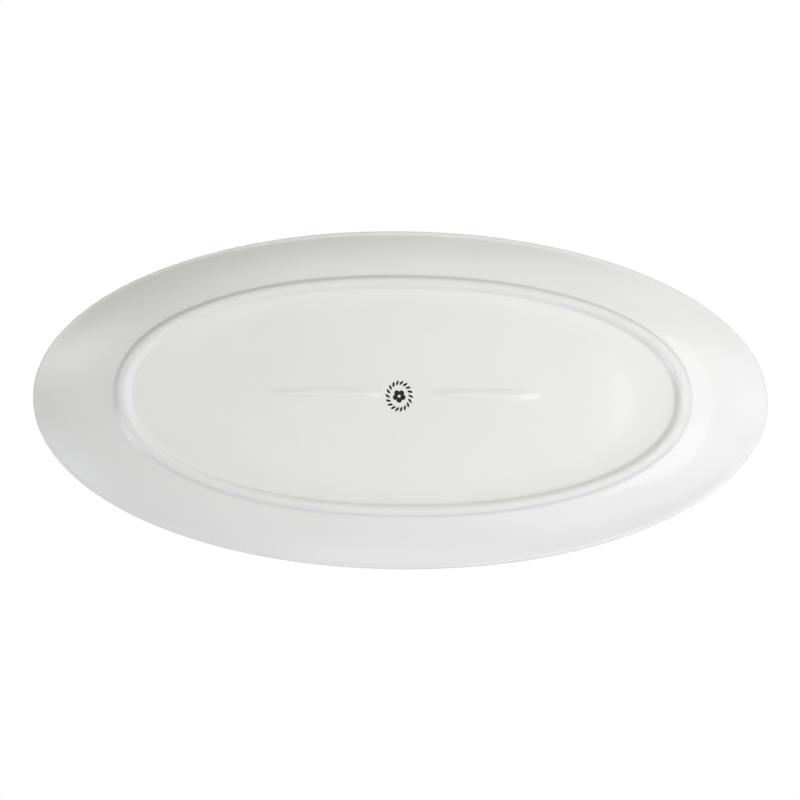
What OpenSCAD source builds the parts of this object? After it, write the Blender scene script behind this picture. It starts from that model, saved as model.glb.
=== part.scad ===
// Oval china serving platter on a foot ring, with two support ribs in the recess under it.
// Millimetres. The foot's crest stands on z = 0, X runs along the platter and +Z is up.
// Every oval is a superellipse. One cross-section, worked out afresh at each turn round the
// platter, runs from the foot's crest over the rim to the well's floor and shapes every sub-part.

/* [Platter] */
// Overall length, over the glaze
platter_length = 600; // [560:5:640]
// Overall width, over the glaze
platter_width = 277; // [260:1:320]
// Overall height, over the glaze
platter_height = 36; // [32:0.5:42]
// Thickness of the porcelain in the floor of the well
floor_thick = 5.7; // [4.5:0.1:6.5]
// Thickness of the porcelain in the wall, right above the foot
wall_thick = 8; // [7.5:0.1:9]
// Thickness of the porcelain at the rim
rim_thick = 4.2; // [3.4:0.1:5]
// Length of the flat floor inside the well
well_length = 420; // [400:2:436]
// Width of the flat floor inside the well
well_width = 168; // [150:2:174]
// Width of the lip, where the underside levels out again before the edge
lip_run = 3.6; // [2.6:0.2:6]
// Squareness of the rim's oval, where 2 is a true ellipse
rim_squareness = 2.035; // [2:0.005:2.2]

/* [Foot ring] */
// Length of the foot, along the middle of its crest
foot_length = 448.8; // [442:0.4:450]
// Width of the foot, along the middle of its crest
foot_width = 183.8; // [180:0.4:186]
// Depth of the recess inside the foot ring
recess_depth = 5.6; // [4.6:0.1:7]
// Width of the bare, ground crest that the platter stands on
crest_width = 2.4; // [2:0.2:4]
// Squareness of the foot ring's oval
foot_squareness = 2.16; // [2:0.01:2.3]

/* [Support ribs] */
// Length of one rib
rib_length = 94; // [60:1:96]
// Width of a rib where it meets the floor
rib_width = 11.5; // [10.5:0.1:14]
// How far a rib stands out of the recess floor
rib_rise = 1.9; // [0.8:0.1:2.4]
// Clear space between the two ribs, where the backstamp sits
rib_gap = 31; // [30:1:38]

/* [Glaze and print] */
// Thickness of the glaze coats
glaze = 0.3; // [0.2:0.05:0.5]
// Size of the printed backstamp along the platter
mark_length = 22.5; // [18:0.5:26]
// Size of the printed backstamp across the platter
mark_width = 25.5; // [18:0.5:28]
// Number of leaves round the backstamp
mark_leaves = 18; // [12:1:20]

/* [Hidden] */

// Points round each oval, and steps in each stretch of the cross-section
oval_points = 72;
rib_points = 36;
flank_steps = 5;
wall_steps = 5;
lip_steps = 3;
edge_steps = 6;
well_steps = 3;
rib_steps = 5;

// The bare body's underside starts on this level, where the foot ring and the ribs join it
joint_z = recess_depth + glaze;
well_z = joint_z + floor_thick;

// How far the foot's flanks run outside and inside its crest, at the ends and at the sides
outer_run = [8, 5];
inner_run = [6, 4.2];
// How much of the fired crest is ground away to make it stand flat
grind_depth = 0.4;

// Half sizes of the ovals that the cross-section passes through
rim_half = [platter_length / 2 - glaze, platter_width / 2 - glaze];
foot_half = [foot_length / 2, foot_width / 2];
crest_half = [crest_width / 2, crest_width / 2];
joint_half = foot_half + crest_half + outer_run;
recess_half = foot_half - crest_half - inner_run;
well_half = [well_length / 2, well_width / 2];

// The rim's edge is a half round, which takes over from the lip where the lip is this steep
edge_radius = rim_thick / 2;
edge_z = platter_height - glaze - edge_radius;
lip_slope = 0.3;

// Share of the wall's climb that is a straight slope, the rest being a curve
wall_straight = 0.64;

// How far a rib's ends and sides taper, from its outline to its back
rib_taper = [20, 4.8];
rib_squareness = 2.4;

// The moulded ribs and the hand-applied print sit a little off the foot's centre
rib_centre = [1.5, -1.5];
mark_centre = [-4.2, 0.3];
print_thick = 0.1;

// A point of a superellipse, at a share of the turn that the angle gives
function oval_point(half, squareness, turn) =
    let (swell = pow(pow(abs(cos(turn)), squareness) + pow(abs(sin(turn)), squareness), -1 / squareness))
        [half.x * swell * cos(turn), half.y * swell * sin(turn)];

// A station of a cross-section is [distance out from the joint, height, angle of its normal]

// Height of a flank at share q of its run, level at the crest and with slope exit at its end
function flank_rise(q, run, exit) = (3 - 2 * q) * q * q * joint_z + (q - 1) * q * q * run * exit;
function flank_slope(q, run, exit) = 6 * q * (1 - q) * joint_z / run + (3 * q - 2) * q * exit;

// The foot's outer flank over the given run, and its inner flank, which is walked inwards
function outer_flank(run, exit) = [
    for (i = [0:flank_steps])
        let (q = i / flank_steps)
            [(q - 1) * run, flank_rise(q, run, exit), atan(flank_slope(q, run, exit)) - 90]
];
function inner_flank(run) = [
    for (i = [0:flank_steps])
        let (q = i / flank_steps)
            [(1 - q) * run, flank_rise(q, run, 0), 270 - atan(flank_slope(q, run, 0))]
];

// Where the wall ends and the lip starts, and where the lip ends, over a given width of rim
function lip_end(width) = width - edge_radius + edge_radius * sin(atan(lip_slope));
function lip_start(width) = lip_end(width) - lip_run;
lip_end_z = edge_z - edge_radius * cos(atan(lip_slope));

// The wall's climb, which leaves the lip just what it needs to reach the rim's edge
function wall_climb(width) =
    (lip_end_z - joint_z - lip_run * lip_slope / 2)
    / (1 + lip_run * (2 - wall_straight) / (2 * lip_start(width)));

// Slope of the wall at share t of its run
function wall_slope(t, width) =
    (wall_straight + 2 * (1 - wall_straight) * t) * wall_climb(width) / lip_start(width);

// The underside of the wall and of the lip, as [distance, height, slope]
function wall_under(t, width) = [
    t * lip_start(width),
    joint_z + (wall_straight * t + (1 - wall_straight) * t * t) * wall_climb(width),
    wall_slope(t, width),
];
function lip_under(t, width) =
    let (
        steep = wall_slope(1, width),
        left = (1 - t) * lip_run
    )
        [
            lip_end(width) - left,
            lip_end_z - lip_slope * left - (steep - lip_slope) * left * left / (2 * lip_run),
            lip_slope + (steep - lip_slope) * (1 - t),
        ];

// A station on the underside, and the one on the face above it, square to the slope
function below(s) = [s[0], s[1], atan(s[2]) - 90];
function above(s, thick) =
    [s[0] - thick * sin(atan(s[2])), s[1] + thick * cos(atan(s[2])), atan(s[2]) + 90];

// From the joint out under the wall and the lip, round the edge and back in over the face
function rim_section(width) = concat(
    [for (i = [0:wall_steps - 1]) below(wall_under(i / wall_steps, width))],
    [for (i = [0:lip_steps - 1]) below(lip_under(i / lip_steps, width))],
    [
        for (i = [0:edge_steps])
            let (angle = atan(lip_slope) - 90 + 180 * i / edge_steps)
                [width - edge_radius + edge_radius * cos(angle), edge_z + edge_radius * sin(angle), angle]
    ],
    [for (i = [1:lip_steps]) above(lip_under(1 - i / lip_steps, width), rim_thick)],
    [
        for (i = [1:wall_steps])
            let (t = 1 - i / wall_steps)
                above(wall_under(t, width), wall_thick + t * (rim_thick - wall_thick))
    ]
);

// A station put in place, out along a line from the joint and off the skin by a coat's thickness
function placed(s, joint, outward, coat) =
    let (reach = joint + (s[0] + coat * cos(s[2])) * outward)
        [reach.x, reach.y, s[1] + coat * sin(s[2])];

// The skin of the dish at a turn, from the joint over the rim to the well's flat floor
function dish_section(turn, coat) =
    let (
        joint = oval_point(joint_half, foot_squareness, turn),
        rim = oval_point(rim_half, rim_squareness, turn),
        well = oval_point(well_half, foot_squareness, turn),
        width = norm(rim - joint),
        outward = (rim - joint) / width,
        walls = [for (s = rim_section(width)) placed(s, joint, outward, coat)],
        inner = walls[len(walls) - 1]
    )
        concat(
            walls,
            [
                for (i = [1:well_steps])
                    let (q = i / well_steps)
                        [
                            inner.x + q * (well.x - inner.x),
                            inner.y + q * (well.y - inner.y),
                            well_z + coat + (1 - q) * (1 - q) * (inner.z - well_z - coat),
                        ]
            ]
        );

// The skin of the foot's flanks at a turn. The outer one is tangent to the wall that follows.
function outer_flank_section(turn, coat) =
    let (
        joint = oval_point(joint_half, foot_squareness, turn),
        crest = oval_point(foot_half + crest_half, foot_squareness, turn),
        run = norm(joint - crest),
        exit = wall_slope(0, norm(oval_point(rim_half, rim_squareness, turn) - joint))
    )
        [for (s = outer_flank(run, exit)) placed(s, joint, (joint - crest) / run, coat)];
function inner_flank_section(turn, coat) =
    let (
        floor_edge = oval_point(recess_half, foot_squareness, turn),
        crest = oval_point(foot_half - crest_half, foot_squareness, turn),
        run = norm(crest - floor_edge)
    )
        [for (s = inner_flank(run)) placed(s, floor_edge, (crest - floor_edge) / run, coat)];

// The whole outlines that a list of sections, one for each turn, gives
turns = [for (i = [0:oval_points - 1]) 360 * i / oval_points];
function outlines_of(sections) = [
    for (k = [0:len(sections[0]) - 1])
        [for (section = sections) section[k]]
];
function dish_outlines(coat) = outlines_of([for (turn = turns) dish_section(turn, coat)]);
function outer_flank_outlines(coat) = outlines_of([for (turn = turns) outer_flank_section(turn, coat)]);
function inner_flank_outlines(coat) = outlines_of([for (turn = turns) inner_flank_section(turn, coat)]);

// The part of a list from one place to another
function part_of(list, from, to) = [for (i = [from:to]) list[i]];
function reversed(list) = [for (i = [len(list) - 1:-1:0]) list[i]];

// The outlines that a coat lies on, or reaches if it has a thickness, leaving the crest bare
function face_outlines(coat) =
    concat(part_of(outer_flank_outlines(coat), 1, flank_steps - 1), dish_outlines(coat));
function recess_outlines(coat) = part_of(inner_flank_outlines(coat), 1, flank_steps);

// Side faces between outline k and outline m of a stack, each with n points
function band(k, m, n) = [
    for (i = [0:n - 1])
        let (j = (i + 1) % n)
            each [[k * n + i, m * n + i, m * n + j], [k * n + i, m * n + j, k * n + j]]
];

// The side faces of a whole stack, and its flat caps
function bands(count, n) = [for (k = [0:count - 2]) each band(k, k + 1, n)];
function first_cap(n) = [for (i = [0:n - 1]) i];
function last_cap(count, n) = [for (i = [n - 1:-1:0]) (count - 1) * n + i];

// A closed solid through a stack of outlines, capped at both ends
module capped_loft(outlines) {
    n = len(outlines[0]);
    count = len(outlines);
    polyhedron(
        points = [for (outline = outlines) each outline],
        faces = concat([first_cap(n)], bands(count, n), [last_cap(count, n)])
    );
}

// A closed ring through a loop of outlines, where the last one joins the first
module ring_loft(outlines) {
    n = len(outlines[0]);
    count = len(outlines);
    polyhedron(
        points = [for (outline = outlines) each outline],
        faces = concat(bands(count, n), band(count - 1, 0, n))
    );
}

// A thin bag: out along one skin and back along the other, with a cap at each one's far end
module shell_loft(outside, inside) {
    n = len(outside[0]);
    reach = len(outside);
    near = concat(bands(reach, n), [last_cap(reach, n)]);
    far = [for (face = concat([first_cap(n)], bands(reach, n))) [for (v = face) v + reach * n]];
    polyhedron(
        points = [for (outline = concat(outside, reversed(inside))) each outline],
        faces = concat(near, far, band(2 * reach - 1, 0, n))
    );
}

// The fired porcelain of the dish: floor, wall and rim
module dish_body() {
    color([0.93, 0.92, 0.89])
        capped_loft(dish_outlines(0));
}

// The ring that carries the platter, with its rounded crest ground flat and left bare
module foot_ring() {
    crest = [
        for (turn = turns)
            let (p = oval_point(foot_half, foot_squareness, turn))
                [p.x, p.y, -grind_depth]
    ];
    color([0.93, 0.92, 0.89])
        difference() {
            ring_loft(concat(reversed(inner_flank_outlines(0)), [crest], outer_flank_outlines(0)));
            translate([-platter_length / 2, -platter_width / 2, -platter_height])
                cube([platter_length, platter_width, platter_height]);
        }
}

// One rib: a long low mound from its soft back up to the dish. side is -1 or 1.
module support_rib(side) {
    rib_half = [rib_length / 2, rib_width / 2];
    rib_turns = [for (i = [0:rib_points - 1]) 360 * i / rib_points];
    outlines = [
        for (i = [rib_steps:-1:0])
            let (
                q = i / rib_steps,
                half = rib_half - q * rib_taper,
                z = joint_z - (3 - 2 * q) * q * q * (glaze + rib_rise)
            )
                [for (turn = rib_turns) concat(oval_point(half, rib_squareness, turn), z)]
    ];
    translate([rib_centre.x + side * (rib_gap + rib_length) / 2, rib_centre.y, 0])
        capped_loft(outlines);
}

module support_rib_left() {
    color([0.94, 0.95, 0.93])
        support_rib(-1);
}

module support_rib_right() {
    color([0.94, 0.95, 0.93])
        support_rib(1);
}

// The coat over the face, round the edge and down to the foot's outer flank
module face_glaze() {
    color([0.95, 0.96, 0.94])
        shell_loft(face_outlines(glaze), face_outlines(0));
}

// The coat inside the foot ring, open where the two ribs stand
module recess_glaze() {
    color([0.95, 0.96, 0.94])
        difference() {
            shell_loft(recess_outlines(0), recess_outlines(glaze));
            support_rib(-1);
            support_rib(1);
        }
}

// A pointed leaf lying along X, where two circles overlap
module leaf(length, width) {
    bend = (length * length / width + width) / 4;
    intersection() {
        translate([0, bend - width / 2])
            circle(r = bend, $fn = 96);
        translate([0, width / 2 - bend])
            circle(r = bend, $fn = 96);
    }
}

// The print: an oval wreath of slanted leaves round a five-petalled blossom
module backstamp() {
    leaf_length = mark_length * 0.21;
    leaf_width = mark_length * 0.08;
    leaf_tilt = 32;
    wreath_half = [mark_length / 2, mark_width / 2] - [1, 1] * leaf_length * cos(leaf_tilt) / 2;
    petals = 5;
    petal_radius = mark_length * 0.095;
    petal_ring = mark_length * 0.14;
    color([0.12, 0.15, 0.14])
        translate([mark_centre.x, mark_centre.y, recess_depth - print_thick])
            linear_extrude(print_thick) {
                for (i = [0:mark_leaves - 1])
                    let (turn = 360 * i / mark_leaves)
                        translate([wreath_half.x * cos(turn), wreath_half.y * sin(turn)])
                            rotate(turn + leaf_tilt)
                                leaf(leaf_length, leaf_width);
                for (i = [0:petals - 1])
                    rotate(360 * i / petals + 90)
                        translate([petal_ring, 0])
                            circle(r = petal_radius, $fn = 48);
            }
}

dish_body();
foot_ring();
support_rib_left();
support_rib_right();
face_glaze();
recess_glaze();
backstamp();
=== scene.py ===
# %% [markdown]
# # An oval porcelain serving platter
#
# The platter is one body of fired clay: a dish on a low foot ring, with two ribs moulded into
# the recess under it. A clear, glossy glaze covers it all but the foot's crest, which is wiped
# bare so that it doesn't stick to the kiln shelf. A small print sits between the ribs. In this
# lesson each of these becomes a piece of its own, built round the measured frame of the part.

# %% Load the frame
import functools
import math

import bmesh
import bpy
from mathutils import Matrix, Vector


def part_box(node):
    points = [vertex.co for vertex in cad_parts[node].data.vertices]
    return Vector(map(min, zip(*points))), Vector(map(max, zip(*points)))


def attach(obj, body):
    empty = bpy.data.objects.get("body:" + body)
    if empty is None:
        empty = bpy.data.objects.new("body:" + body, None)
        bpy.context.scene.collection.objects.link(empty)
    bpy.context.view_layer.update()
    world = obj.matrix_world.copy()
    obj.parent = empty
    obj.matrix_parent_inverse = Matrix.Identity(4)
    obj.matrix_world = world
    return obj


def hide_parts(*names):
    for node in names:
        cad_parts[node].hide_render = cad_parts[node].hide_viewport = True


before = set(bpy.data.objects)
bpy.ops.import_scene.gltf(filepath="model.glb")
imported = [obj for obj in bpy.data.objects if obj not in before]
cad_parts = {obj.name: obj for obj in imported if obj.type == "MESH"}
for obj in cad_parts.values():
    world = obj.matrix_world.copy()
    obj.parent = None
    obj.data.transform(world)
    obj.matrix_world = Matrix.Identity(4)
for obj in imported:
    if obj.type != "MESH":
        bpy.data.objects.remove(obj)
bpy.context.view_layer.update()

print("frame:", sorted(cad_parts))

# %% [markdown]
# ## The camera
#
# The platter is looked at from straight below, leaning a few degrees towards one side and one
# end, so the foot ring stands off-centre in the rim. A long lens from a metre and a half keeps
# the ovals true. Looking straight up, "which way is up" has no natural answer, so the camera's
# three axes are worked out one by one: across the picture runs the platter's own length.

# %% Place the camera
LENS = 85
AIM = Vector((-0.0030, 0.0021, 0.020))
VIEW_DISTANCE = 1.5285
LEAN_TO_SIDE = math.radians(5.2)
LEAN_TO_END = math.radians(-2.2)
ROLL = math.radians(0.57)

back = Vector((math.tan(LEAN_TO_END), math.tan(LEAN_TO_SIDE), -1)).normalized()
along = Vector((1, 0, 0))
right = (along - along.dot(back) * back).normalized()
up = back.cross(right)
turned = Matrix((right, up, back)).transposed().to_4x4()

bpy.ops.object.camera_add()
camera = bpy.context.object
camera.name = "view_camera"
camera.data.lens = LENS
place = Matrix.Translation(AIM + VIEW_DISTANCE * back)
camera.matrix_world = place @ turned @ Matrix.Rotation(ROLL, 4, "Z")
bpy.context.scene.camera = camera
print("camera at", [round(c, 3) for c in camera.matrix_world.translation])

# %% [markdown]
# ## The sizes
#
# The frame says how large the platter is, and a few wall measures of our own say the rest. A
# potter would draw two things: the ovals seen from above, and the cross-section of the wall.
# The ovals are superellipses, a shade squarer than a true ellipse. Everything is in metres.

# %% Read the sizes from the frame
GLAZE = 0.0003
CREST_WIDTH = 0.0024
OUTER_RUN = Vector((0.008, 0.005))
INNER_RUN = Vector((0.006, 0.0042))
WELL_HALF = Vector((0.210, 0.084))
RIM_SQUARENESS = 2.035
FOOT_SQUARENESS = 2.16

coat_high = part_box("face_glaze")[1]
foot_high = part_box("foot_ring")[1]

RIM_HALF = Vector((coat_high.x - GLAZE, coat_high.y - GLAZE))
JOINT_HALF = Vector((foot_high.x, foot_high.y))
CREST_OUTER = JOINT_HALF - OUTER_RUN
CREST_INNER = CREST_OUTER - Vector((CREST_WIDTH, CREST_WIDTH))
JOINT_Z = foot_high.z
TOP_Z = coat_high.z - GLAZE
print("rim, in mm:", [round(2000 * c, 1) for c in RIM_HALF])
print("joint, in mm:", [round(2000 * c, 1) for c in JOINT_HALF])

# %% [markdown]
# ## The cross-section
#
# A station of the cross-section is a distance out, a height, and the angle that its outward
# normal makes. The wall under the rim climbs in a gentle curve, levels out into a narrow lip,
# turns round a half-round edge and comes back over the face. Because the rim's oval and the
# foot's oval aren't the same shape, the wall is wider at the ends, so the section is worked out
# afresh at every turn round the platter. Scaling one ring into the next couldn't do that.

# %% Draw the cross-section
FLOOR_THICK = 0.0057
WALL_THICK = 0.008
RIM_THICK = 0.0042
WALL_STRAIGHT = 0.64
LIP_RUN = 0.0036
LIP_SLOPE = 0.3
WELL_Z = JOINT_Z + FLOOR_THICK
EDGE_RADIUS = RIM_THICK / 2
EDGE_Z = TOP_Z - EDGE_RADIUS
LIP_ANGLE = math.atan(LIP_SLOPE)
LIP_END_Z = EDGE_Z - EDGE_RADIUS * math.cos(LIP_ANGLE)


def oval(half, squareness, turn):
    """The point of a superellipse at a turn."""
    across, over = math.cos(turn), math.sin(turn)
    swell = (abs(across) ** squareness + abs(over) ** squareness) ** (-1 / squareness)
    return Vector((half.x * swell * across, half.y * swell * over))


def shares(steps):
    """Even shares of a stretch, from its start to just before its end."""
    return [step / steps for step in range(steps)]


def flank(share, run, exit_slope):
    """Height and slope of a foot's flank, which leaves the level crest in a soft S."""
    rise = (3 - 2 * share) * share**2 * JOINT_Z + (share - 1) * share**2 * run * exit_slope
    slope = 6 * share * (1 - share) * JOINT_Z / run + (3 * share - 2) * share * exit_slope
    return rise, slope


class Wall:
    """The wall at one turn: how far it reaches, and how high and steep it is on the way."""

    def __init__(self, width):
        self.lip_end = width - EDGE_RADIUS + EDGE_RADIUS * math.sin(LIP_ANGLE)
        self.lip_start = self.lip_end - LIP_RUN
        climb = LIP_END_Z - JOINT_Z - LIP_RUN * LIP_SLOPE / 2
        self.climb = climb / (1 + LIP_RUN * (2 - WALL_STRAIGHT) / (2 * self.lip_start))
        self.steepest = self.slope(1)

    def slope(self, share):
        bend = WALL_STRAIGHT + 2 * (1 - WALL_STRAIGHT) * share
        return bend * self.climb / self.lip_start

    def under(self, share):
        height = JOINT_Z + (WALL_STRAIGHT * share + (1 - WALL_STRAIGHT) * share**2) * self.climb
        return share * self.lip_start, height, self.slope(share)

    def lip(self, share):
        left = (1 - share) * LIP_RUN
        ease = self.steepest - LIP_SLOPE
        height = LIP_END_Z - LIP_SLOPE * left - ease * left**2 / (2 * LIP_RUN)
        return self.lip_end - left, height, LIP_SLOPE + ease * (1 - share)


def above(station, thickness):
    """The point of the face that lies over a point of the underside, square to its slope."""
    out, height, slope = station
    angle = math.atan(slope)
    return out - thickness * math.sin(angle), height + thickness * math.cos(angle)


print("wall slope at the end of the platter:", round(Wall(RIM_HALF.x - JOINT_HALF.x).steepest, 3))

# %% [markdown]
# ## Extruding a ring round the section
#
# By hand this is a circle, extruded again and again, with each new ring pulled into place. The
# same is done here. Every vertex of the first circle remembers its turn in an attribute, which
# an extrusion copies, so a ring can be laid on its station wherever the extrusion left it.

# %% Ring helpers
TURN_POINTS = 256
DOUBLES = 0.000001


def select_nothing():
    """Leaves object mode with nothing selected, as every operator acts on what is selected."""
    if bpy.context.mode != "OBJECT":
        bpy.ops.object.mode_set(mode="OBJECT")
    bpy.ops.object.select_all(action="DESELECT")


def choose(piece):
    select_nothing()
    piece.select_set(True)
    bpy.context.view_layer.objects.active = piece


def lay_ring(piece, section_at, station):
    """Moves each selected vertex to its station of the cross-section at its own turn."""
    mesh = bmesh.from_edit_mesh(piece.data)
    turn = mesh.verts.layers.float["turn"]
    for vertex in mesh.verts:
        if vertex.select:
            vertex.co = section_at(vertex[turn])[station]
    bmesh.update_edit_mesh(piece.data)


def sweep(name, section_at, points=TURN_POINTS):
    """Extrudes a circle through every station of section_at, and stays in edit mode."""
    select_nothing()
    bpy.ops.mesh.primitive_circle_add(vertices=points, radius=JOINT_HALF.x)
    piece = bpy.context.object
    piece.name = name
    turn = piece.data.attributes.new("turn", "FLOAT", "POINT")
    for vertex in piece.data.vertices:
        turn.data[vertex.index].value = math.atan2(vertex.co.y, vertex.co.x)
    bpy.ops.object.mode_set(mode="EDIT")
    bpy.ops.mesh.select_all(action="SELECT")
    lay_ring(piece, section_at, 0)
    for station in range(1, len(section_at(0.0))):
        bpy.ops.mesh.extrude_region_move()
        lay_ring(piece, section_at, station)
    return piece


def close_pole():
    """Gathers the selected ring into one vertex at its centre."""
    bpy.ops.mesh.merge(type="CENTER")


def finish_mesh(piece):
    """Merges doubles, turns the faces outwards and smooths the shading."""
    bpy.ops.mesh.select_all(action="SELECT")
    bpy.ops.mesh.remove_doubles(threshold=DOUBLES)
    bpy.ops.mesh.normals_make_consistent(inside=False)
    bpy.ops.object.mode_set(mode="OBJECT")
    piece.data.attributes.remove(piece.data.attributes["turn"])
    bpy.ops.object.shade_smooth()


def measured(piece):
    """Prints what a piece has become."""
    corners = [Vector(corner) for corner in piece.bound_box]
    spans = [(min(c[i] for c in corners), max(c[i] for c in corners)) for i in range(3)]
    size = [round(1000 * (high - low), 1) for low, high in spans]
    print(piece.name, size, "mm,", len(piece.data.polygons), "faces")


print(TURN_POINTS, "vertices in a ring")

# %% [markdown]
# ## The skins
#
# The body's skin has two stretches that the glaze follows: one from the foot's outer flank over
# the rim to the middle of the well, and one from the foot's inner flank over the recess floor.
# Each is a function from a turn to a list of points, so that body and glaze share one drawing.

# %% Skin functions
FLANK_STEPS = 10
WALL_STEPS = 14
LIP_STEPS = 6
EDGE_STEPS = 12
WELL_STEPS = 8
FLOOR_STEPS = 6
POLE_SHARE = 0.02
POLE_MARGIN = 1.25
SAME_HEIGHT = 0.00001
LINE_SHARE = 0.2


def out_from(start, end):
    """The way from one oval to the next at a turn, and how far it is."""
    way = end - start
    return way.normalized(), way.length


def joint_at(turn):
    return oval(JOINT_HALF, FOOT_SQUARENESS, turn)


def outer_flank_at(turn, first=0.0):
    """The foot's outer side, from a share of its run up to the joint."""
    joint = joint_at(turn)
    crest = oval(CREST_OUTER, FOOT_SQUARENESS, turn)
    outward, run = out_from(crest, joint)
    exit_slope = Wall((oval(RIM_HALF, RIM_SQUARENESS, turn) - joint).length).slope(0)
    points = []
    for share in [first + (1 - first) * s for s in shares(FLANK_STEPS)] + [1.0]:
        rise, _ = flank(share, run, exit_slope)
        points.append((crest + share * run * outward).to_3d() + Vector((0, 0, rise)))
    return points


def inner_flank_at(turn, first=0.0):
    """The foot's inner side, from a share of its run in to the edge of the recess floor."""
    crest = oval(CREST_INNER, FOOT_SQUARENESS, turn)
    floor_edge = oval(CREST_INNER - INNER_RUN, FOOT_SQUARENESS, turn)
    inward, run = out_from(crest, floor_edge)
    points = []
    for share in [first + (1 - first) * s for s in shares(FLANK_STEPS)] + [1.0]:
        rise, _ = flank(share, run, 0)
        points.append((crest + share * run * inward).to_3d() + Vector((0, 0, rise)))
    return points


def wall_at(turn):
    """From just past the joint, out under the wall, round the edge and in to the well's side."""
    joint = joint_at(turn)
    outward, width = out_from(joint, oval(RIM_HALF, RIM_SQUARENESS, turn))
    wall = Wall(width)
    stations = [wall.under(share)[:2] for share in shares(WALL_STEPS)[1:]]
    stations += [wall.lip(share)[:2] for share in shares(LIP_STEPS)]
    for share in shares(EDGE_STEPS):
        angle = LIP_ANGLE - math.pi / 2 + share * math.pi
        across, over = EDGE_RADIUS * math.cos(angle), EDGE_RADIUS * math.sin(angle)
        stations.append((width - EDGE_RADIUS + across, EDGE_Z + over))
    stations += [above(wall.lip(1 - share), RIM_THICK) for share in shares(LIP_STEPS)]
    for share in shares(WALL_STEPS) + [1.0]:
        thickness = RIM_THICK + share * (WALL_THICK - RIM_THICK)
        stations.append(above(wall.under(1 - share), thickness))
    return [(joint + out * outward).to_3d() + Vector((0, 0, height)) for out, height in stations]


def well_at(turn, side):
    """From the wall's inner foot down to the flat floor, and in towards the middle."""
    edge = oval(WELL_HALF, FOOT_SQUARENESS, turn).to_3d()
    points = []
    for step in range(1, WELL_STEPS + 1):
        share = step / WELL_STEPS
        point = side.lerp(edge, share)
        point.z = WELL_Z + (1 - share) ** 2 * (side.z - WELL_Z)
        points.append(point)
    return points + inwards(points[-1])


def inwards(edge):
    """Rings of a flat floor that shrink from its edge to a small one, which becomes the pole."""
    steps = list(reversed(shares(FLOOR_STEPS)[1:])) + [POLE_SHARE]
    return [Vector((edge.x * share, edge.y * share, edge.z)) for share in steps]


@functools.lru_cache(maxsize=None)
def face_skin(turn):
    flank_points = outer_flank_at(turn, LINE_SHARE)
    walls = wall_at(turn)
    return flank_points + walls + well_at(turn, walls[-1])


@functools.lru_cache(maxsize=None)
def recess_skin(turn):
    flank_points = inner_flank_at(turn, LINE_SHARE)
    return flank_points + inwards(flank_points[-1])


print(len(face_skin(0.0)), "rings on the face,", len(recess_skin(0.0)), "in the recess")

# %% [markdown]
# ## The porcelain of the dish
#
# On the real platter clay is pressed between two moulds in one go. Here the circle starts near
# the middle of the underside, runs out to the joint, follows the wall and comes back over the
# well, and the two small holes left in the middle are gathered into poles.

# %% Dish porcelain
@functools.lru_cache(maxsize=None)
def dish_section(turn):
    joint = joint_at(turn).to_3d() + Vector((0, 0, JOINT_Z))
    walls = wall_at(turn)
    return list(reversed(inwards(joint))) + [joint] + walls + well_at(turn, walls[-1])


def small_ring_only(piece, height):
    """Selects the innermost ring at a height."""
    reach = JOINT_HALF.x * POLE_SHARE * POLE_MARGIN
    mesh = bmesh.from_edit_mesh(piece.data)
    mesh.select_mode = {"VERT"}
    for vertex in mesh.verts:
        level = abs(vertex.co.z - height) < SAME_HEIGHT
        vertex.select = level and vertex.co.to_2d().length < reach
    mesh.select_flush(True)
    bmesh.update_edit_mesh(piece.data)


dish = sweep("dish_porcelain", dish_section)
bpy.ops.mesh.select_mode(type="VERT")
for height in (JOINT_Z, WELL_Z):
    small_ring_only(dish, height)
    close_pole()
finish_mesh(dish)
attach(dish, "root")
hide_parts("dish_body")
measured(dish)

# %% [markdown]
# ## The foot ring
#
# The ring that carries the platter is an endless S-shaped moulding: up the inner flank, over the
# ground crest, down the outer flank. Its crest is the one place where bare clay shows.

# %% Foot ring
CREST_STEPS = 4


@functools.lru_cache(maxsize=None)
def foot_section(turn):
    inner = list(reversed(inner_flank_at(turn)))
    outer = outer_flank_at(turn)
    crest = [inner[-1].lerp(outer[0], share) for share in shares(CREST_STEPS)[1:]]
    return inner + crest + outer + [inner[0]]


foot = sweep("foot_porcelain", foot_section)
finish_mesh(foot)
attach(foot, "root")
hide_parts("foot_ring")
measured(foot)

# %% [markdown]
# ## The glaze coats
#
# Glaze is poured and dipped on, so it follows the clay at an even thickness and thins out to
# nothing where it was wiped off the foot. A skin with the Solidify modifier is just that. A
# vertex group that is empty at the glaze line and full everywhere else gives the feathered edge.

# %% Coat helper
FEATHER = 0.0016
THINNEST = 0.04


def coat(name, skin, middle_height, facing):
    """A glaze coat over a skin, whose middle lies at a height and faces up or down."""
    piece = sweep(name, skin)
    bpy.ops.mesh.select_mode(type="VERT")
    small_ring_only(piece, middle_height)
    close_pole()
    finish_mesh(piece)
    middle = min(piece.data.polygons, key=lambda face: face.center.to_2d().length)
    if middle.normal.z * facing < 0:
        piece.data.flip_normals()
    line_z = skin(0.0)[0].z
    group = piece.vertex_groups.new(name="full_thickness")
    for vertex in piece.data.vertices:
        group.add([vertex.index], min(1.0, max(0.0, (vertex.co.z - line_z) / FEATHER)), "REPLACE")
    solid = piece.modifiers.new("coat", "SOLIDIFY")
    solid.thickness = GLAZE
    solid.offset = 1
    solid.use_even_offset = True
    solid.vertex_group = group.name
    solid.thickness_vertex_group = THINNEST
    choose(piece)
    bpy.ops.object.modifier_apply(modifier=solid.name)
    piece.vertex_groups.clear()
    return piece


face_coat = coat("face_coat", face_skin, WELL_Z, facing=1)
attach(face_coat, "root")
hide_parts("face_glaze")
measured(face_coat)

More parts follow.
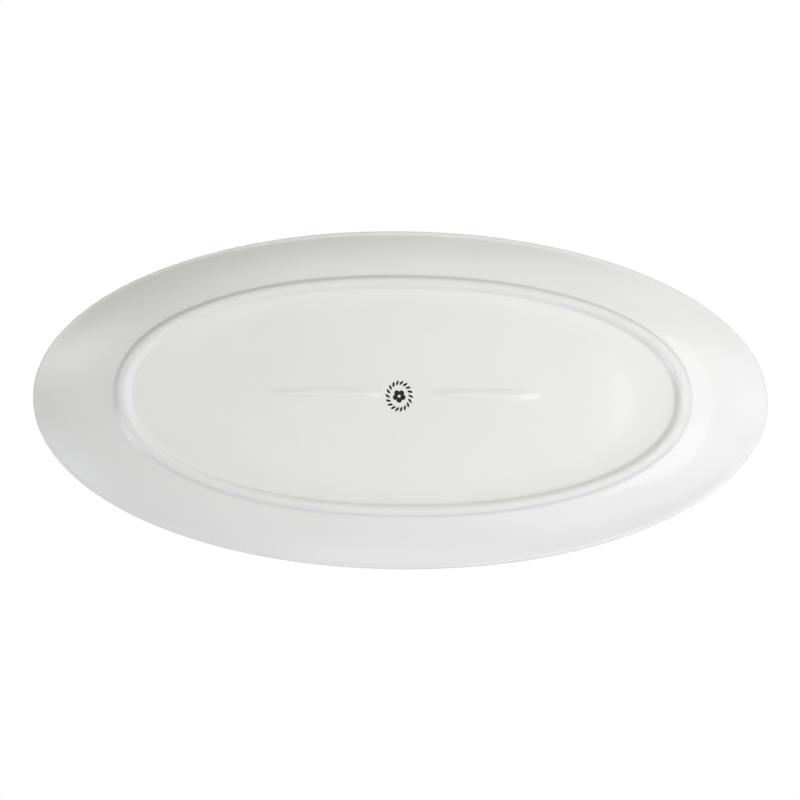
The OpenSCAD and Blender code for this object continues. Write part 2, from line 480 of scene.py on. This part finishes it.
recess_coat = coat("recess_coat", recess_skin, JOINT_Z, facing=-1)
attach(recess_coat, "root")
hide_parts("recess_glaze")
measured(recess_coat)

# %% [markdown]
# ## The support ribs
#
# A long thin floor can sag in the kiln, so two low ribs are moulded along its middle, one on each
# side of the print. Each is a soft mound that grows out of the recess without an edge: a
# bell-shaped section, level at its foot and level on its back.

# %% Ribs
RIB_POINTS = 96
RIB_STEPS = 12
RIB_TAPER = Vector((0.020, 0.0048))
RIB_SQUARENESS = 2.4
SKIRT = 0.00002


def rib_section(node):
    """The rib's rings at a turn, from its hidden base to its back."""
    low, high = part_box(node)
    centre = (low + high) / 2
    half = Vector((high.x - low.x, high.y - low.y)) / 2
    floor_z = JOINT_Z - GLAZE
    rise = floor_z - low.z

    @functools.lru_cache(maxsize=None)
    def section_at(turn):
        def point(share, height):
            place = oval(half - share * RIB_TAPER, RIB_SQUARENESS, turn)
            return Vector((centre.x + place.x, centre.y + place.y, height))

        points = [point(0, JOINT_Z)]
        for share in shares(RIB_STEPS) + [1.0]:
            bell = (3 - 2 * share) * share**2
            points.append(point(share, floor_z + SKIRT - bell * rise))
        back = points[-1]
        middle = Vector((centre.x, centre.y, back.z))
        return points + [back.lerp(middle, 0.5), back.lerp(middle, 0.95)]

    return section_at


def make_rib(name, node):
    rib = sweep(name, rib_section(node), RIB_POINTS)
    close_pole()
    mesh = bmesh.from_edit_mesh(rib.data)
    for vertex in mesh.verts:
        vertex.select = abs(vertex.co.z - JOINT_Z) < SAME_HEIGHT
    mesh.select_flush(True)
    bmesh.update_edit_mesh(rib.data)
    bpy.ops.mesh.edge_face_add()
    bpy.ops.mesh.poke()
    finish_mesh(rib)
    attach(rib, "root")
    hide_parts(node)
    measured(rib)
    return rib


rib_left = make_rib("rib_left", "support_rib_left")
rib_right = make_rib("rib_right", "support_rib_right")

# %% [markdown]
# ## Writing finishes as sums
#
# A finish is a handful of layers: a colour, a gloss and a fine relief, each made of noise that is
# stretched, cut and mixed. Written as nodes that is hard to read, so a small class wraps a
# socket. Adding or multiplying two of them adds the Math node that does it.

# %% Finish helpers
class Level:
    """A number that varies over a surface, and can be reckoned with like any number."""

    def __init__(self, finish, socket):
        self.finish = finish
        self.socket = socket

    def reckon(self, operation, first, second):
        settings = {"operation": operation}
        return self.finish.node("ShaderNodeMath", settings, {0: first, 1: second}, 0)

    def __add__(self, other):
        return self.reckon("ADD", self, other)

    def __radd__(self, other):
        return self.reckon("ADD", other, self)

    def __sub__(self, other):
        return self.reckon("SUBTRACT", self, other)

    def __rsub__(self, other):
        return self.reckon("SUBTRACT", other, self)

    def __mul__(self, other):
        return self.reckon("MULTIPLY", self, other)

    def __rmul__(self, other):
        return self.reckon("MULTIPLY", other, self)

    def exponential(self):
        return self.reckon("EXPONENT", self, 0.0)

    def between(self, low, high):
        """0 below low, 1 above high and a soft climb in between."""
        settings = {"interpolation_type": "SMOOTHSTEP"}
        inputs = {"Value": self, "From Min": low, "From Max": high}
        return self.finish.node("ShaderNodeMapRange", settings, inputs, 0)


class Finish:
    """A material or a world, built up from its layers."""

    def __init__(self, owner, coordinates="Object"):
        self.owner = owner
        owner.use_nodes = True
        self.tree = owner.node_tree
        self.tree.nodes.clear()
        self.place = self.node("ShaderNodeTexCoord", {}, {}, coordinates)

    def node(self, kind, settings, inputs, output):
        """Any node: its type, its settings, the values or links of its sockets, and its output."""
        node = self.tree.nodes.new(kind)
        for name, value in settings.items():
            setattr(node, name, value)
        for name, value in inputs.items():
            if isinstance(value, Level):
                self.tree.links.new(value.socket, node.inputs[name])
            else:
                node.inputs[name].default_value = value
        return Level(self, node.outputs[output])

    def noise(self, size, detail=2.0, roughness=0.5):
        """Cloudy noise from 0 to 1 whose patches are about size metres wide."""
        inputs = {"Vector": self.place, "Scale": 1 / size, "Detail": detail, "Roughness": roughness}
        return self.node("ShaderNodeTexNoise", {}, inputs, "Fac")

    def specks(self, size):
        """The distance, in cells of about size metres, to the nearest of many scattered points."""
        inputs = {"Vector": self.place, "Scale": 1 / size}
        return self.node("ShaderNodeTexVoronoi", {}, inputs, "Distance")

    def blend(self, share, start, end):
        """One colour turning into another."""
        settings = {"data_type": "RGBA"}
        return self.node("ShaderNodeMix", settings, {0: share, 6: start, 7: end}, 2)

    def relief(self, height, depth, under=None):
        """A bump of the given depth in metres, on top of another one."""
        inputs = {"Height": height, "Distance": depth, "Strength": 1.0}
        if under is not None:
            inputs["Normal"] = under
        return self.node("ShaderNodeBump", {}, inputs, "Normal")

    def end_in(self, shader, kind="ShaderNodeOutputMaterial"):
        """Shows a shader on the surface, or as the sky of a world."""
        output = self.tree.nodes.new(kind)
        self.tree.links.new(shader.socket, output.inputs["Surface"])
        return self.owner

    def surface(self, inputs):
        """The shader that the layers of a solid finish end in."""
        return self.end_in(self.node("ShaderNodeBsdfPrincipled", {}, inputs, "BSDF"))


def wear(piece, material):
    """Gives a piece its finish."""
    piece.data.materials.clear()
    piece.data.materials.append(material)


print("finish helpers ready")

# %% [markdown]
# ## White glaze
#
# A glaze fires to a glassy skin, never quite flat: it pulls into long shallow waves, with a fine
# pitting over them. The white is warm, a touch thicker and greener here than there, and a rare
# iron speck burns through. The waves matter most, as they are what breaks up a reflection.

# %% White glaze
GLASS_IOR = 1.5
CLOUD_SIZE = 0.07
POOL_SIZE = 0.011
SPECK_SPACING = 0.024
WAVE_SIZE = 0.026
WAVE_DEPTH = 0.00012
PIT_SIZE = 0.0028
PIT_DEPTH = 0.000004
THICK_WHITE = (0.845, 0.852, 0.815, 1)
THIN_WHITE = (0.862, 0.866, 0.832, 1)
POOLED_WHITE = (0.835, 0.847, 0.812, 1)
IRON_BROWN = (0.35, 0.29, 0.22, 1)


def white_glaze():
    finish = Finish(bpy.data.materials.new("white_glaze"))
    cloud = finish.noise(CLOUD_SIZE, 3.0)
    pool = finish.noise(POOL_SIZE, 2.0)
    speck = 1 - finish.specks(SPECK_SPACING).between(0.006, 0.016)
    tint = finish.blend(cloud.between(0.3, 0.7), THICK_WHITE, THIN_WHITE)
    tint = finish.blend(pool.between(0.45, 0.75) * 0.25, tint, POOLED_WHITE)
    tint = finish.blend(speck * 0.55, tint, IRON_BROWN)
    waves = finish.relief(finish.noise(WAVE_SIZE, 1.5), WAVE_DEPTH)
    pitting = finish.relief(finish.noise(PIT_SIZE, 2.0), PIT_DEPTH, waves)
    return finish.surface(
        {
            "Base Color": tint,
            "Roughness": 0.07 + cloud * 0.05,
            "Normal": pitting,
            "IOR": GLASS_IOR,
        }
    )


GLAZE_FINISH = white_glaze()
for piece in (face_coat, recess_coat, rib_left, rib_right):
    wear(piece, GLAZE_FINISH)
print("white glaze on the coats and ribs")

# %% [markdown]
# ## Bare porcelain
#
# Unglazed porcelain is matt and a little greyer, like fine eggshell. The foot's crest has been
# ground flat on a wheel, so it is dusted with tiny grains, and handling has rubbed some grey in.

# %% Bare porcelain
GRIME_SIZE = 0.018
GRAIN_SIZE = 0.0009
GRAIN_DEPTH = 0.00003
CLEAN_CLAY = (0.82, 0.823, 0.79, 1)
RUBBED_CLAY = (0.77, 0.77, 0.735, 1)
GRAIN_GREY = (0.66, 0.655, 0.62, 1)


def bare_porcelain():
    finish = Finish(bpy.data.materials.new("bare_porcelain"))
    grime = finish.noise(GRIME_SIZE, 4.0, 0.6).between(0.42, 0.75)
    grain = finish.noise(GRAIN_SIZE, 3.0, 0.7)
    tint = finish.blend(grime * 0.5, CLEAN_CLAY, RUBBED_CLAY)
    tint = finish.blend(grain.between(0.6, 0.85) * 0.25, tint, GRAIN_GREY)
    ground = finish.relief(grain, GRAIN_DEPTH)
    return finish.surface(
        {
            "Base Color": tint,
            "Roughness": 0.55 + grime * 0.2,
            "Normal": ground,
            "IOR": GLASS_IOR,
        }
    )


BARE_FINISH = bare_porcelain()
for piece in (dish, foot):
    wear(piece, BARE_FINISH)
print("bare porcelain on the dish and foot")

# %% [markdown]
# ## Printed ink
#
# The backstamp is a decal, printed in a nearly black ceramic ink and fired under the glaze. The
# ink lies a little unevenly, so it is dappled, and it shines like the glaze over it.

# %% Printed ink
DAPPLE_SIZE = 0.0011
FILM_DEPTH = 0.000006
THICK_INK = (0.008, 0.011, 0.009, 1)
THIN_INK = (0.030, 0.038, 0.033, 1)


def printed_ink():
    finish = Finish(bpy.data.materials.new("printed_ink"))
    dapple = finish.noise(DAPPLE_SIZE, 3.0, 0.65)
    tint = finish.blend(dapple.between(0.45, 0.8), THICK_INK, THIN_INK)
    film = finish.relief(dapple, FILM_DEPTH)
    return finish.surface(
        {
            "Base Color": tint,
            "Roughness": 0.12 + dapple * 0.1,
            "Normal": film,
            "IOR": GLASS_IOR,
        }
    )


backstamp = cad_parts["backstamp"]
for material_slot in backstamp.material_slots:
    material_slot.material = printed_ink()
print("ink on the print,", len(backstamp.material_slots), "slot")

# %% [markdown]
# ## The floor
#
# A pale sweep of floor under the foot, which fades to white further out, as a studio's paper
# sweep does. It is one-sided, so that the platter can also be looked at from below: seen from
# its back, or by the light that comes from underneath, it isn't there.

# %% Floor
FLOOR_REACH = 3.0
FLOOR_POINTS = 96
FADE_START = 0.4
PAPER_SHADE = (0.80, 0.80, 0.79, 1)
PAPER_LIGHT = (0.82, 0.82, 0.81, 1)

select_nothing()
bpy.ops.mesh.primitive_circle_add(vertices=FLOOR_POINTS, radius=FLOOR_REACH, fill_type="NGON")
floor = bpy.context.object
floor.name = "studio_floor"
floor.visible_shadow = False
floor.visible_diffuse = False
floor.visible_glossy = False
floor.visible_transmission = False


def pale_floor():
    finish = Finish(bpy.data.materials.new("pale_floor"))
    tone = finish.noise(0.9, 3.0)
    tint = finish.blend(tone.between(0.3, 0.7), PAPER_SHADE, PAPER_LIGHT)
    matt = finish.node("ShaderNodeBsdfDiffuse", {}, {"Color": tint}, 0)
    clear = finish.node("ShaderNodeBsdfTransparent", {}, {}, 0)
    from_below = finish.node("ShaderNodeNewGeometry", {}, {}, "Backfacing")
    reach = finish.node("ShaderNodeVectorMath", {"operation": "LENGTH"}, {0: finish.place}, "Value")
    solid = (1 - from_below) * (1 - reach.between(FADE_START, FLOOR_REACH))
    sheet = finish.node("ShaderNodeMixShader", {}, {0: solid, 1: clear, 2: matt}, 0)
    return finish.end_in(sheet)


wear(floor, pale_floor())
print("floor, radius", FLOOR_REACH, "m")

# %% [markdown]
# ## The soft boxes
#
# White on white is drawn by its shading alone. Three wide soft boxes off one end light the
# underside from below, so that it darkens softly towards the other end. Two more light the face
# from above, and give the floor its shadow. None of them shows in the picture itself. Three
# tints are enough beside plain white: a pale lilac, a cool blue and a warm, slightly green one.

# %% Soft boxes
bpy.context.scene.view_settings.view_transform = "Standard"

PLAIN = (1.0, 1.0, 1.0)
PALE = (1.0, 0.95, 1.05)
COOL = (0.95, 0.94, 1.2)
WARM = (1.1, 1.15, 0.8)


def soft_box(name, place, aim, size, power, tint=PLAIN):
    """A square light of a size in metres and a power in watts, turned to the point aim."""
    select_nothing()
    bpy.ops.object.light_add(type="AREA", location=place)
    light = bpy.context.object
    light.name = name
    light.data.shape = "SQUARE"
    light.data.size = size
    light.data.energy = power
    light.data.color = tint
    light.rotation_euler = (Vector(aim) - Vector(place)).to_track_quat("-Z", "Y").to_euler()
    light.visible_camera = False


PLATTER = (0, 0, 0)

soft_box("key_below", (1.18, 0.8, -1.5), (1.18, 0.8, 0), 1.6, 13)
soft_box("second_below", (1.18, -0.8, -1.5), (1.18, -0.8, 0), 1.6, 12, PALE)
soft_box("third_below", (1.0, 1.0, -1.2), PLATTER, 1.8, 8, COOL)
soft_box("key_above", (-0.8, -0.9, 1.5), PLATTER, 1.0, 20)
soft_box("second_above", (1.0, 0.6, 1.4), PLATTER, 0.9, 9)

# %% [markdown]
# ## The room
#
# Glaze mirrors the room it stands in, and in an even grey room it would look like paper. So the
# room is made of a few broad glows. Each is a direction with a strength and a tint, brightest in
# its middle and gone a few tens of degrees away. Where they leave a gap the room stays dark, and
# the glaze mirrors the gap as a darker gleam. The camera itself sees white.

# %% Room
def toward(turn, climb):
    """The direction at a turn round the platter and an angle over the horizon, in degrees."""
    turn, climb = math.radians(turn), math.radians(climb)
    level = math.cos(climb)
    return Vector((math.cos(turn) * level, math.sin(turn) * level, math.sin(climb)))


BROAD = 5
MIDDLING = 16
TIGHT = 24
LOW = -25
LEVEL = -5

# turn, climb, tightness, strength, tint
GLOWS = (
    (72, -70, MIDDLING, 1.6, WARM),
    (0, LOW, TIGHT, 1.4, COOL),
    (90, LEVEL, TIGHT, 1.8, PALE),
    (150, LEVEL, TIGHT, 3.9, COOL),
    (210, LOW, TIGHT, 2.9, PLAIN),
    (270, LOW, TIGHT, 1.0, PLAIN),
    (300, LEVEL, TIGHT, 1.3, PLAIN),
    (330, LOW, TIGHT, 1.2, PALE),
    (0, 90, BROAD, 1.0, PLAIN),
)


def white_studio():
    room = Finish(bpy.data.worlds.new("white_studio"), "Generated")
    light = room.node("ShaderNodeBackground", {}, {"Strength": 0.0}, 0)
    for turn, climb, tightness, strength, tint in GLOWS:
        inputs = {0: room.place, 1: toward(turn, climb)}
        nearness = room.node("ShaderNodeVectorMath", {"operation": "DOT_PRODUCT"}, inputs, "Value")
        fade = ((nearness - 1) * tightness).exponential()
        inputs = {"Color": (*tint, 1), "Strength": fade * strength}
        glow = room.node("ShaderNodeBackground", {}, inputs, 0)
        light = room.node("ShaderNodeAddShader", {}, {0: light, 1: glow}, 0)
    white = room.node("ShaderNodeBackground", {}, {"Color": (1, 1, 1, 1)}, 0)
    seen = room.node("ShaderNodeLightPath", {}, {}, "Is Camera Ray")
    sky = room.node("ShaderNodeMixShader", {}, {0: seen, 1: light, 2: white}, 0)
    return room.end_in(sky, "ShaderNodeOutputWorld")


bpy.context.scene.world = white_studio()
print("room with", len(GLOWS), "glows")
